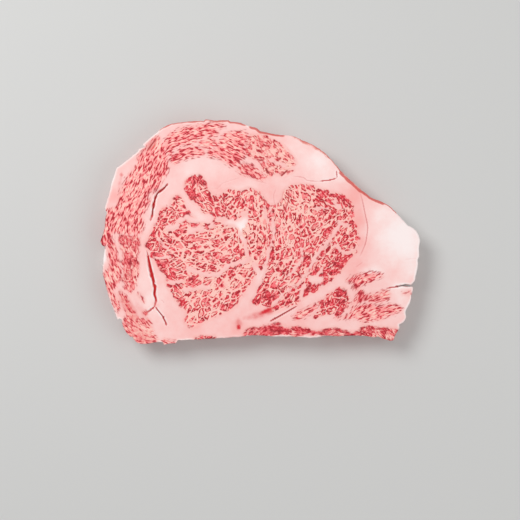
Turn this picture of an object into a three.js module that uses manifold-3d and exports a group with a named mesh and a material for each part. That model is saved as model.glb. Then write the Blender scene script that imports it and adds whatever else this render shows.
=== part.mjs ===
// A raw, heavily marbled beef steak, sawn across the rib end of the loin and lying flat on its cut face.
// Millimetres, +Z up. X runs along the longest side, from the ragged flank edge to the fat shoulder, and
// Y runs from the straight side, where the ribs were lifted off, up to the round fat cap.
// The origin is the middle of the slice, on the surface that it rests on.
import * as THREE from "three";
import { mergeVertices } from "three/addons/utils/BufferGeometryUtils.js";
import Module from "manifold-3d";

// Driving dimensions
const THICKNESS = 28; // between the two cut faces
const RIM_RADIUS = 1.7; // how far the wall rounds in towards each cut face
const RIM_TURN = 0.96; // the part of a full quarter turn that the rim makes before it meets the face
const WALL_LEVELS = 6; // bands of faces up the wall
const WALL_SINK = 1.2; // deepest hollow in the outer wall
const UNDER_TAPER = 2.4; // how far the wall draws in, in places, towards the face that it rests on
const CURVE_STEPS = 2; // outline points for each drawn point
const CORNER_SPAN = 4; // outline points each way over which the wall's direction is averaged
const RELIEF_CELL = 5.4; // grid of the upper cut face
const RELIEF_DEPTH = 0.45; // how far the soft face swells and sinks
const FACE_SLOPE = 1.2; // how much thinner the slice is at its ragged corner
const SLAB_MARGIN = 6; // how far the relief slab reaches past the outline
const CUT_CLEARANCE = 3; // how far a cutter stands clear of the face that it opens
const SAME_POINT = 1e-3; // two points closer than this are one

// The outline, clockwise from the flap at the upper left. Each stretch is one smooth curve through its
// points, and two stretches meet at a corner.
const OUTLINE = {
  flap: [[-99.2, 74.2], [-101.6, 75.4], [-98.8, 78.8]],
  capRise: [[-98.8, 78.8], [-92, 84.6], [-85, 89.8], [-76, 94], [-62, 96], [-48.4, 96.7]],
  capCrown: [[-48.4, 96.7], [-46.6, 98.2], [-38, 97.2], [-27.2, 97.4]],
  capBrow: [[-27.2, 97.4], [-25.3, 95.9], [-17, 94.9], [-8.5, 91.8], [-3, 90.1], [0, 87.4]],
  capFall: [[0, 87.4], [7, 86.4], [18, 84.4], [27, 83.8], [40, 78.7], [54, 70.4], [63, 61.4], [69, 54.1]],
  shoulder: [[69, 54.1], [80, 44.2], [94, 31.8], [106, 26.3], [115, 20], [128, 6.3]],
  knob: [[128, 6.3], [133.4, 3.7], [137.2, -2.2], [138.4, -8], [137.6, -13], [137.4, -20], [136, -23.2]],
  tail: [[136, -23.2], [136.2, -28.6], [134.5, -37.4], [133.6, -41.6], [130.6, -45]],
  tornStep: [[130.6, -45], [132.2, -48], [130.9, -54], [130.8, -58], [128, -63.6], [125.6, -68]],
  tornEdge: [[125.6, -68], [126.1, -73.6], [123.6, -77.8], [120, -79.6]],
  tornCorner: [[120, -79.6], [120.7, -81.7], [118.3, -86], [116, -89.8], [115.2, -92.4], [112.4, -93.4]],
  ribEnd: [[112.4, -93.4], [107, -92], [101.4, -90], [98, -91], [90, -89.4], [78, -89.2], [67, -89.9]],
  ribSide: [[67, -89.9], [57, -89], [45.4, -91], [30, -90.1], [11, -90], [-5, -88.9], [-27, -91], [-71, -93.3]],
  shred: [[-71, -93.3], [-72.3, -95.4], [-79, -95.9], [-82.4, -96.8], [-84, -94.5]],
  heel: [[-84, -94.5], [-90, -94.8], [-99, -96.1], [-107, -94.5], [-110.2, -89.4]],
  heelNotch: [[-110.2, -89.4], [-111.3, -90.3], [-115.2, -86.6], [-118.4, -80.4], [-119.4, -75.3]],
  flankNotch: [[-119.4, -75.3], [-121.6, -74.1], [-123.2, -75.2], [-126.2, -67], [-130.2, -56], [-132.4, -48]],
  flank: [[-132.4, -48], [-134.4, -40], [-136.1, -33], [-135, -21], [-133.9, -12]],
  leanKnob: [[-133.9, -12], [-136, -11.3], [-137.7, -8], [-136.4, -3.8], [-134.6, 2], [-133.3, 12], [-131.9, 17.8]],
  flankTop: [[-131.9, 17.8], [-133.9, 21.5], [-131.2, 30.2], [-128.8, 41], [-125.9, 50], [-123.8, 56.2]],
  bevelEdge: [[-123.8, 56.2], [-116, 61.6], [-108, 68], [-105.2, 70.2]],
  nick: [[-105.2, 70.2], [-104.4, 72.2], [-99.2, 74.2]],
};

// Where a seam between two muscles has pulled open: its route along the cut face, the width at its mouth and
// its depth. widest is where along the route it gapes most.
const SEAM = [[-97.6, -15], [-96.4, -20], [-94.2, -31], [-91.6, -42], [-90.4, -48], [-90.9, -53], [-89.6, -58], [-90.6, -64.5]];
const CLEFTS = [
  { route: SEAM, width: 2.6, depth: 12, widest: 0.55, steps: 22 },
  {
    route: [[-79.4, 42.4], [-83, 37.8], [-88, 34], [-90.6, 28], [-92.6, 19], [-92.6, 14.5], [-95.2, 8]],
    width: 1.6, depth: 7, widest: 0.6, steps: 16,
  },
  { route: [[-90.4, -63.4], [-94, -66], [-97.4, -68.6]], width: 0.9, depth: 3, widest: 0.3, steps: 5 },
  { route: [[-90, -63.6], [-87.6, -67.4], [-83, -73.4], [-80.4, -79.6]], width: 1.1, depth: 4, widest: 0.3, steps: 9 },
  { route: [[54, 45.4], [60, 45.5], [65.6, 47.2], [66.8, 52]], width: 0.8, depth: 2, widest: 0.6, steps: 7 },
  {
    route: [[85.6, 35.4], [88.4, 24.6], [92.2, 11], [92.4, 2], [90.8, -8], [85.2, -19.6]],
    width: 0.7, depth: 1.5, widest: 0.4, steps: 12,
  },
];
const UNDER_SEAM = { route: SEAM, width: 1.6, depth: 5, widest: 0.45, steps: 22 };
// The split at the torn edge runs through the whole slice.
const SPLIT = {
  route: [[136, -45.3], [130, -45.8], [124, -45.4], [117, -46.7]],
  width: 1.9, depth: THICKNESS + CUT_CLEARANCE, widest: 0, steps: 8,
};

const wasm = await Module();
wasm.setup();

// A closed geometry as a solid that can be joined and cut.
function solid(geometry) {
  const bare = geometry.clone();
  bare.deleteAttribute("normal");
  bare.deleteAttribute("uv");
  const merged = mergeVertices(bare, 1e-4);
  return new wasm.Manifold(new wasm.Mesh({
    numProp: 3,
    vertProperties: new Float32Array(merged.attributes.position.array),
    triVerts: new Uint32Array(merged.index.array),
  }));
}

// A solid's surface as a three.js geometry with flat faces.
function surface(made) {
  const { vertProperties, triVerts } = made.getMesh();
  const geometry = new THREE.BufferGeometry()
    .setAttribute("position", new THREE.BufferAttribute(vertProperties, 3))
    .setIndex(new THREE.BufferAttribute(triVerts, 1))
    .toNonIndexed();
  geometry.computeVertexNormals();
  return geometry;
}

// Moves every vertex of a geometry to the place that a function gives for it.
function shaped(geometry, place) {
  const { position } = geometry.attributes;
  const point = new THREE.Vector3();
  for (let i = 0; i < position.count; i++) {
    place(point.fromBufferAttribute(position, i));
    position.setXYZ(i, point.x, point.y, point.z);
  }
  return geometry;
}

function outlineShape() {
  const shape = new THREE.Shape();
  for (const [name, stretch] of Object.entries(OUTLINE)) {
    const points = stretch.map(([x, y]) => new THREE.Vector2(x, y));
    if (name === "flap") shape.moveTo(points[0].x, points[0].y);
    shape.splineThru(points.slice(1));
  }
  return shape;
}

// How far in the wall lies at a height, where it rounds over to the two cut faces.
function rimInset(z) {
  const toFace = Math.min(z, THICKNESS - z);
  const climb = THREE.MathUtils.clamp(1 - toFace / RIM_RADIUS, 0, 1);
  return RIM_RADIUS * (1 - Math.sqrt(1 - RIM_TURN * climb ** 2));
}

// Soft hollows in the outer wall, at a distance s round the outline and a height z. They drift sideways as
// they go down, and the foot of the wall draws in more on some sides than on others.
function wallHollow(s, z) {
  const up = z / THICKNESS;
  const folds = Math.sin(s * 0.09 + 1.9 * up) + 0.7 * Math.sin(s * 0.23 + 2.6 * up + 2);
  const taper = (1 - up) ** 1.5 * (0.5 + 0.5 * Math.sin(s * 0.024 + 1));
  return WALL_SINK * Math.sin(up * Math.PI) * (0.5 + 0.29 * folds) + UNDER_TAPER * taper;
}

// The points of the outline, each with its distance round it and the direction that lies square to it,
// inwards. The direction is averaged over a few neighbours, so that it turns slowly past a nick.
function outlineStations(shape) {
  const ring = shape.extractPoints(CURVE_STEPS).shape;
  if (ring[0].distanceTo(ring.at(-1)) < SAME_POINT) ring.pop();
  let distance = 0;
  return ring.map((here, i) => {
    const before = ring.at(i - CORNER_SPAN);
    const after = ring[(i + CORNER_SPAN) % ring.length];
    const along = after.clone().sub(before).normalize();
    distance += i ? here.distanceTo(ring[i - 1]) : 0;
    return { here, distance, inward: new THREE.Vector2(along.y, -along.x) };
  });
}

// The outline drawn up through the slice, its wall rounded at the rims and gently hollowed.
function body() {
  const shape = outlineShape();
  const stations = outlineStations(shape);
  const geometry = new THREE.ExtrudeGeometry(shape, {
    depth: THICKNESS, steps: WALL_LEVELS, bevelEnabled: false, curveSegments: CURVE_STEPS,
  });
  return shaped(geometry, (p) => {
    const station = stations.find(({ here }) => Math.hypot(here.x - p.x, here.y - p.y) < SAME_POINT);
    const z = (THICKNESS / 2) * (1 - Math.cos((p.z / THICKNESS) * Math.PI));
    const inset = rimInset(z) + wallHollow(station.distance, z);
    p.x += station.inward.x * inset;
    p.y += station.inward.y * inset;
    p.z = z;
  });
}

// The height of the upper cut face, which swells over the muscles and thins towards the ragged corner.
function faceHeight(x, y) {
  const swell = Math.sin(x * 0.061 + 1.1) * Math.cos(y * 0.074 - 0.4) + 0.6 * Math.sin(x * 0.13 - y * 0.11);
  const toCorner = THREE.MathUtils.smoothstep(-x - y, 60, 220);
  return THICKNESS - RELIEF_DEPTH * (1.1 + 0.6 * swell) - FACE_SLOPE * toCorner;
}

// A block whose upper face has the relief of the cut face, and whose other faces stand clear of the slice.
function reliefSlab(box) {
  const size = box.getSize(new THREE.Vector3()).addScalar(2 * SLAB_MARGIN);
  const middle = box.getCenter(new THREE.Vector3());
  const geometry = new THREE.BoxGeometry(
    size.x, size.y, THICKNESS, Math.round(size.x / RELIEF_CELL), Math.round(size.y / RELIEF_CELL), 1,
  );
  geometry.translate(middle.x, middle.y, 0);
  return shaped(geometry, (p) => {
    p.z = p.z > 0 ? faceHeight(p.x, p.y) : -CUT_CLEARANCE;
  });
}

// A wedge that follows a cleft's route: a box, bent along the route, narrow at its foot and at both ends.
function wedge({ route, width, depth, widest, steps }, face) {
  const line = new THREE.SplineCurve(route.map(([x, y]) => new THREE.Vector2(x, y)));
  const box = new THREE.BoxGeometry(1, 1, 1, steps, 1, 2);
  return shaped(box, (p) => {
    const u = THREE.MathUtils.clamp(p.x + 0.5, 0, 1);
    const up = p.z + 0.5;
    const spread = u < widest ? u / widest : (1 - u) / (1 - widest);
    const gape = 0.05 + 0.95 * Math.sin(spread * Math.PI * 0.5) ** 0.7;
    const here = line.getPointAt(u);
    const along = line.getTangentAt(u);
    const out = p.y * width * gape * (0.12 + 0.88 * up);
    const sunk = depth * Math.sqrt(gape);
    p.x = here.x - along.y * out;
    p.y = here.y + along.x * out;
    p.z = face === "upper"
      ? faceHeight(here.x, here.y) - sunk + up * (sunk + CUT_CLEARANCE)
      : -CUT_CLEARANCE + (1 - up) * (sunk + CUT_CLEARANCE);
  });
}

// The under face's wedge is the upper one turned over, so its faces are turned back to point outwards.
function turned(geometry) {
  const { index } = geometry;
  for (let i = 0; i < index.count; i += 3) {
    const [b, c] = [index.getX(i + 1), index.getX(i + 2)];
    index.setX(i + 1, c);
    index.setX(i + 2, b);
  }
  return geometry;
}

function steak() {
  const prism = body();
  prism.computeBoundingBox();
  let made = solid(prism).intersect(solid(reliefSlab(prism.boundingBox)));
  for (const cleft of [...CLEFTS, SPLIT]) made = made.subtract(solid(wedge(cleft, "upper")));
  made = made.subtract(solid(turned(wedge(UNDER_SEAM, "under"))));
  const geometry = surface(made);
  geometry.computeBoundingBox();
  const middle = geometry.boundingBox.getCenter(new THREE.Vector3());
  return geometry.translate(-middle.x, -middle.y, -geometry.boundingBox.min.z);
}

const marbledMeat = new THREE.MeshStandardMaterial({ color: 0xeb9c99, roughness: 0.45, metalness: 0 });

const part = new THREE.Group();
const slice = new THREE.Mesh(steak(), marbledMeat);
slice.name = "steak";
part.add(slice);

export default part;
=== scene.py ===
"""A raw, heavily marbled beef steak, sawn across the rib end of the loin and lying flat on a pale table."""
import math

import bmesh
import bpy
import numpy as np
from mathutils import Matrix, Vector, kdtree, noise
from mathutils.geometry import delaunay_2d_cdt


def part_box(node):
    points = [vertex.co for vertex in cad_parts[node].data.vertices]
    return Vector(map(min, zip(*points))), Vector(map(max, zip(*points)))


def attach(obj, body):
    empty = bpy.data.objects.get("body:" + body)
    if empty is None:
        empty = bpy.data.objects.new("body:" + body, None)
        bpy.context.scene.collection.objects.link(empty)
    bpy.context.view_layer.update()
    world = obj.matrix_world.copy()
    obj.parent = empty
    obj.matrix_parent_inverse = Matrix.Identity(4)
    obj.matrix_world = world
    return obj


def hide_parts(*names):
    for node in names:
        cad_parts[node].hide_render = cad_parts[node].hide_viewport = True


MM = 0.001
# The points drawn below are in millimetres on the upper cut face, +X right and +Y up. The slice's middle
# lies here among them.
DRAWN_MIDDLE = np.array([0.29, 0.61])

# Mesh, in millimetres unless a comment says otherwise
RIM_START = (117, -46.4)  # where the rim is counted from: the inner end of the split, which hides the join
RIM_STEP = 1.0  # distance between points round the rim
TOP_STEP = 1.02  # distance between points inside the upper face
UNDER_STEP = 1.7  # distance between points inside the face that lies on the table
LINE_STEP = 0.9  # distance between points along a crease or an opened seam
CLEARANCE = 0.62  # least distance of an inner point from the rim and the lines, as a share of its step
WALL_STEPS = 22  # bands of faces up the wall
RIM_REACH = 4  # how many points of the rim each way give its direction
RIM_RADIUS = 1.7  # how far the wall rounds in towards each cut face
RIM_GIVE = 7.0  # how far in from the rim the face is drawn along with it
CUT_LEVEL = 0.86  # share of the height at which the rim's outline is taken from the solid
SEAM_LIFT = 0.28  # how far fat stands above lean
WALL_SINK = 0.7  # how far lean sinks in the wall
LEAN_EDGE = (-1.5, 2.5)  # the depth in the lean where its surface starts to sink, and where it has sunk
LIP = 0.8  # width of the raised lip along an opened seam, where a highlight is painted as well
LIP_LIFT = 0.3  # how far the lip is raised
MEAT_DRIFT = 7.0  # how far the seams wander between the two faces

# The baking map's layout: its width for each millimetre of a face or of the wall, the middle of
# each face in it, the start of the lowest strip of wall, and how far apart the strips lie
FACE_SCALE = 1 / 290
UNDER_SCALE = 0.00138
WALL_SCALE = 0.0021
FACE_AT = (0.5, 0.655)
UNDER_AT = (0.205, 0.155)
WALL_AT = (0.42, 0.03)
WALL_GAP = 0.08

# Camera and table
LENS = 120.0  # millimetres, as is the sensor
SENSOR = 36.0
PHOTO_WIDTH = 520  # pixels
PIXEL = 0.86  # millimetres of the cut face in each pixel
CAMERA_OVER = (-0.0003, -0.0242)  # metres from the slice's middle
TABLE_REACH = 1.6  # metres from the middle to each side

# Material
GRAIN_DEPTH = 6.0  # how much deeper than wide the strands and bundles are
BLOOD_DEPTH = 400  # half depth of a spot of blood in millimetres, so that it goes right through


def srgb(red, green, blue):
    """A colour given as it looks on screen, 0 to 255, as the shader's linear colour."""
    screen = np.array([red, green, blue]) / 255
    return (*np.where(screen <= 0.04045, screen / 12.92, ((screen + 0.055) / 1.055) ** 2.4), 1)


# Fat, and what shows through it; the white also paints the highlights along the rim, the creases and the
# seams
PINK_FAT = srgb(250, 172, 167)
PALE_FAT = srgb(253, 220, 216)
WHITE_FAT_AND_HIGHLIGHT = srgb(253, 238, 236)
FAT_BY_LEAN = srgb(247, 168, 158)
FLUSHED = srgb(226, 84, 84)
BRIGHT_FAT = srgb(216, 16, 44)
# Lean: what lies between its strands, the pale lanes and red patches there, and the strands themselves
BRIGHT_LEAN = srgb(240, 80, 62)
PINK_BETWEEN = srgb(252, 160, 154)
CREAM_BETWEEN = srgb(254, 203, 188)
HAZE_BETWEEN = srgb(252, 154, 151)
LANE = srgb(254, 199, 188)
PATCH = srgb(251, 107, 114)
NEAR_STRAND = srgb(251, 99, 110)
STRAND = srgb(213, 27, 48)
STRAND_FLECK = srgb(248, 103, 110)
STRAND_HEART = srgb(148, 4, 24)
# Dried skin, opened seams, blood and thin lines
THIN_SKIN = srgb(236, 138, 124)
THICK_SKIN = srgb(206, 62, 52)
WOUND = srgb(204, 10, 18)
BLOOD_RED = srgb(216, 12, 34)
FAINT_LINE = srgb(206, 84, 84)
DARK_LINE = srgb(126, 26, 30)

# Muscles, each as the closed outline of its lean
MUSCLES = {
    "flank": [
        (-86, 80), (-89, 83), (-93, 78.5), (-99, 71.5), (-104.5, 66), (-105.5, 58), (-112, 50.5), (-117, 43),
        (-120.5, 34), (-123, 23), (-133, 18.5), (-140, 8), (-141, -9), (-133.5, -12.5), (-127, -6), (-124, 0),
        (-116, -2), (-104, -2), (-101, 3), (-100, 9), (-101, 15), (-98, 21), (-95.5, 26), (-96, 32),
        (-91, 34.5), (-88, 38), (-84.5, 44), (-81, 49), (-79.5, 55), (-79.5, 63), (-80, 70), (-82, 76),
    ],
    "flank streak": [
        (-131, -2), (-127, -4), (-124, -12), (-122, -22), (-119.5, -34), (-122, -45), (-126, -50),
        (-122, -60), (-121, -66), (-125, -66), (-129, -56), (-135, -47), (-137, -38), (-132, -33),
        (-130, -28), (-131, -16),
    ],
    "flank foot": [
        (-121, -50), (-115, -55), (-110, -64), (-106, -71), (-101, -74), (-95, -75), (-93, -80), (-92, -86),
        (-88, -92), (-92, -100), (-110, -100), (-120, -86), (-119, -78), (-115, -70), (-119, -60),
    ],
    "foot fleck": [(-105, -52), (-102, -54), (-99, -58.5), (-99.5, -60), (-102, -58)],
    "fork fleck": [(-101, -68), (-99, -67.5), (-97, -68.5), (-97, -70.5), (-100, -71)],
    "low fleck": [(-56, -90.2), (-50, -89.4), (-44, -89), (-38, -89.6), (-40, -96), (-56, -96)],
    "slit fleck": [(123, -51.5), (130, -51), (130, -53.2), (123, -53)],
    "bottom scrap": [(-83, -92), (-77, -93), (-71, -93.5), (-71, -97), (-84, -97)],
    "flank core": [
        (-120, -1), (-110, -2), (-104.5, -3), (-103.5, -12), (-105, -20), (-104, -30), (-106, -40),
        (-108, -49), (-113, -52), (-118, -46), (-118.5, -34), (-118, -20), (-121, -10),
    ],
    "crown left": [
        (-81, 68), (-83, 76), (-80, 82), (-74, 86.5), (-66, 90), (-56, 91.5), (-48, 93), (-39, 94),
        (-31.5, 93), (-32, 90.5), (-38, 89.5), (-36, 86), (-37, 83.5), (-44, 82.5), (-50, 80.5), (-56, 77.5),
        (-63, 75.5), (-70, 73.5), (-75, 69.5), (-78, 66),
    ],
    "crown inner": [
        (-76.5, 65), (-72, 69.5), (-68, 72.5), (-62, 75), (-56, 74), (-52, 72.5), (-47.5, 70.5), (-48, 67),
        (-55, 65.5), (-62, 63.5), (-68, 62), (-73, 59), (-76.5, 60.5),
    ],
    "crown middle": [(-53, 76), (-47, 80), (-39, 80.5), (-36, 76), (-43, 73), (-50, 73.5)],
    "crown near": [
        (-45, 70), (-40, 72.5), (-35, 78), (-31, 84.5), (-22, 87), (-13, 86.5), (-10, 82), (-13, 76),
        (-12, 70), (-13, 65), (-17, 61), (-20, 57), (-25, 57), (-31, 61), (-36, 64.5), (-44, 65.5),
    ],
    "crown right": [
        (-13, 78), (-9, 84), (-2, 84.5), (4, 84), (9, 81.5), (14, 79), (20, 75), (25, 70), (29.5, 64),
        (31, 60), (28, 57), (24, 56), (20, 59), (14, 61.5), (10, 63.5), (5, 61.5), (0, 60.5), (-5, 62.5),
        (-10, 65), (-13, 69),
    ],
    "crown clump": [
        (-19, 56), (-15, 60), (-9, 59), (-4, 56), (1, 51), (4, 46.5), (0, 45), (-5, 46.5), (-10, 48.5),
        (-16, 50), (-19.5, 53.5),
    ],
    "crown arcs": [
        (1, 61), (10, 60.5), (17, 58), (23, 55), (29, 53.5), (26, 51), (20, 48.5), (14, 51), (9, 49),
        (5, 47.5), (3, 52), (0, 57),
    ],
    "eye left": [
        (-65, 40), (-63, 45.5), (-58, 49), (-51, 49.5), (-48, 46), (-46, 40), (-42.5, 34.5), (-38, 32),
        (-34, 32), (-30, 36), (-25, 38), (-20, 36), (-15, 36.5), (-9.5, 38.5), (-4, 36.5), (0, 34.5), (4, 30),
        (7, 24), (9.5, 17), (10, 8), (11, 0), (9, -8), (6, -18), (4, -28), (1, -33), (-4, -40), (-9, -46),
        (-14, -52), (-17, -57), (-20, -62), (-26, -67), (-33, -70.5), (-40, -73.5), (-48, -77), (-54, -80.5),
        (-60, -81.5), (-65, -77), (-64, -71), (-62.5, -66), (-66, -66), (-70, -62.5), (-73.5, -57),
        (-77, -51), (-80.5, -44.5), (-81.5, -38), (-85, -34), (-88, -29), (-91, -24), (-94, -19), (-97, -14),
        (-99.5, -11.5), (-97, -7), (-95, -2), (-93, 3), (-91.5, 7), (-88.5, 9), (-88, 14), (-85, 19),
        (-81, 22.5), (-78, 22), (-77, 27), (-73, 31.5), (-68.5, 31.5), (-65.5, 27), (-64, 22), (-60, 19),
        (-57, 14), (-53, 18), (-52, 22), (-56, 25), (-60, 28.5), (-63, 32), (-63.5, 36),
    ],
    "eye right": [
        (19, 35), (24, 39), (30, 41.5), (38, 41.5), (46, 40.5), (50, 38), (55, 37), (62, 35), (68, 34),
        (74, 31), (79, 27), (80.5, 20), (82, 10), (84, 2), (84.5, -6), (84, -13), (82, -18), (77, -23),
        (72, -30), (66, -37), (60, -42.5), (53, -46.5), (48, -51), (42, -53), (37, -57), (31, -61.5),
        (23, -64.5), (15, -67.5), (11, -68.5), (8, -65.5), (3, -63.5), (-2, -63), (-8, -61), (-6.5, -57),
        (-3.5, -53), (-2.5, -48), (1, -44), (2, -40), (4, -35), (6, -28), (8, -18), (11, -8), (13, 0),
        (12, 8), (11, 16), (9, 23), (13, 24), (18, 27), (19, 31),
    ],
    "wedge": [
        (68, -47.5), (73, -48.5), (75, -52), (76.5, -57), (76.5, -63), (73, -67), (69, -71.5), (64, -71),
        (58, -70.5), (50, -72), (46, -73), (46, -70), (50, -66), (50, -60), (54, -57), (59, -53), (63, -50),
    ],
    "upper strip": [
        (75, -40), (80, -37), (88, -36), (95, -34), (103, -35), (105, -37.5), (100, -40), (93, -43),
        (88, -45), (83, -49), (80, -48), (80, -43), (76, -42.5),
    ],
    "middle strip": [
        (84, -51), (88, -50), (92, -53), (98, -52), (103, -51), (108, -50), (111.5, -52), (110, -57),
        (106, -60), (99, -60.5), (92, -59), (87, -60), (80, -62.5), (79.5, -60), (82, -56),
    ],
    "lower strip": [
        (80, -64), (86, -62.5), (94, -61), (102, -62), (110, -62), (117, -62.5), (121, -64), (122, -66.5),
        (117, -69.5), (110, -72), (104, -74.5), (96, -75.5), (88, -77), (84, -74), (76, -73.5), (66, -74),
        (64, -73), (74, -71.5), (78, -69), (79, -66),
    ],
    "faint strip": [(28, -73), (34, -68), (42, -64), (48, -62), (50, -65), (46, -68), (40, -71), (32, -75)],
    "rib side": [
        (-15, -87.5), (-12, -84), (-8, -81.5), (0, -81), (8, -79), (14, -77.5), (19, -79), (24, -81.5),
        (32, -81), (40, -82), (46, -84.5), (52, -84.5), (60, -82), (67, -82), (72, -84.5), (80, -85.5),
        (86, -83.5), (87, -81), (91, -80), (100, -81), (110, -82), (117, -83), (122, -86), (118, -96),
        (108, -96), (100, -92.5), (88, -90), (76, -92), (60, -91), (50, -88.5), (40, -88.5), (30, -90),
        (20, -88.5), (10, -90), (-10, -90), (-14, -91),
    ],
}

# Muscles whose strands are finer than the eye's, with how much finer: 1 at most
FINENESS = {
    "flank": 1.0, "flank streak": 0.8, "flank core": 0.4, "flank foot": 0.7, "foot fleck": 0.5,
    "fork fleck": 0.5, "crown left": 1.0, "crown inner": 1.0, "crown middle": 1.0, "crown near": 1.0,
    "crown clump": 0.7, "crown right": 0.3, "crown arcs": 0.3, "upper strip": 1.0, "middle strip": 0.8,
    "lower strip": 1.0, "faint strip": 1.0, "bottom scrap": 0.8, "slit fleck": 0.5, "rib side": 0.3,
}

# Fat veins through the muscles: the width of each, and the points that it runs through
VEINS = [
    (8.2, (-60, 23.5), (-54.5, 16.5), (-50, 13), (-44, 11.5)),
    (5, (-63, 13), (-58, 11), (-50, 11)),
    (4, (-80, 4), (-76, 4), (-72, 6)),
    (3, (-70, 10), (-66, 11)),
    (4.5, (-60, 1), (-55, 3), (-50, 3)),
    (6, (-30, 9), (-24, 9), (-17, 7), (-13, 12)),
    (3, (-17, 5), (-16, -3), (-13, -8), (-12, -16), (-10, -24)),
    (3, (-18, 15), (-12, 17)),
    (2.5, (-43, 5), (-38, 10), (-33, 13), (-29, 10)),
    (3, (-12, -24), (-20, -27), (-28, -29), (-33, -34), (-42, -37), (-50, -35), (-57, -33), (-62, -30)),
    (4, (-5, -27), (-1.5, -36), (-6, -45), (-11, -52.5), (-14, -58)),
    (3, (-79, -43), (-74, -43), (-68, -42)),
    (3, (-65, -50), (-57, -48), (-50, -47), (-44, -48)),
    (1.2, (-93, -20), (-86, -22), (-77, -21)),
    (1.2, (-88, -6), (-84, -10), (-80, -13)),
    (2, (3, 22), (5, 12), (9, 5), (12, 1), (10, -8), (7, -18), (5, -30), (1, -38)),
    (1.8, (36, -14), (36, -22), (31, -30), (25, -36)),
    (1.8, (48, -22), (42, -31), (38, -37), (33, -44), (25, -49), (18, -55), (12, -62)),
    (2.8, (68, 5), (62, -3), (56, -11), (50, -17), (46, -25)),
    (2.5, (36, -60), (36, -52), (38, -46)),
    (7, (45, -40.5), (51, -40)),
    (3, (48, -41), (48.5, -43)),
    (2.5, (49, -38), (52, -34), (53, -31)),
    (2.2, (65, -11), (72, -17), (80, -16), (84, -12)),
    (3, (68, 8), (74, 6)),
    (1.2, (58, 21), (52, 22), (45, 20)),
    (3, (64, 29), (67, 22)),
]

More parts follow.
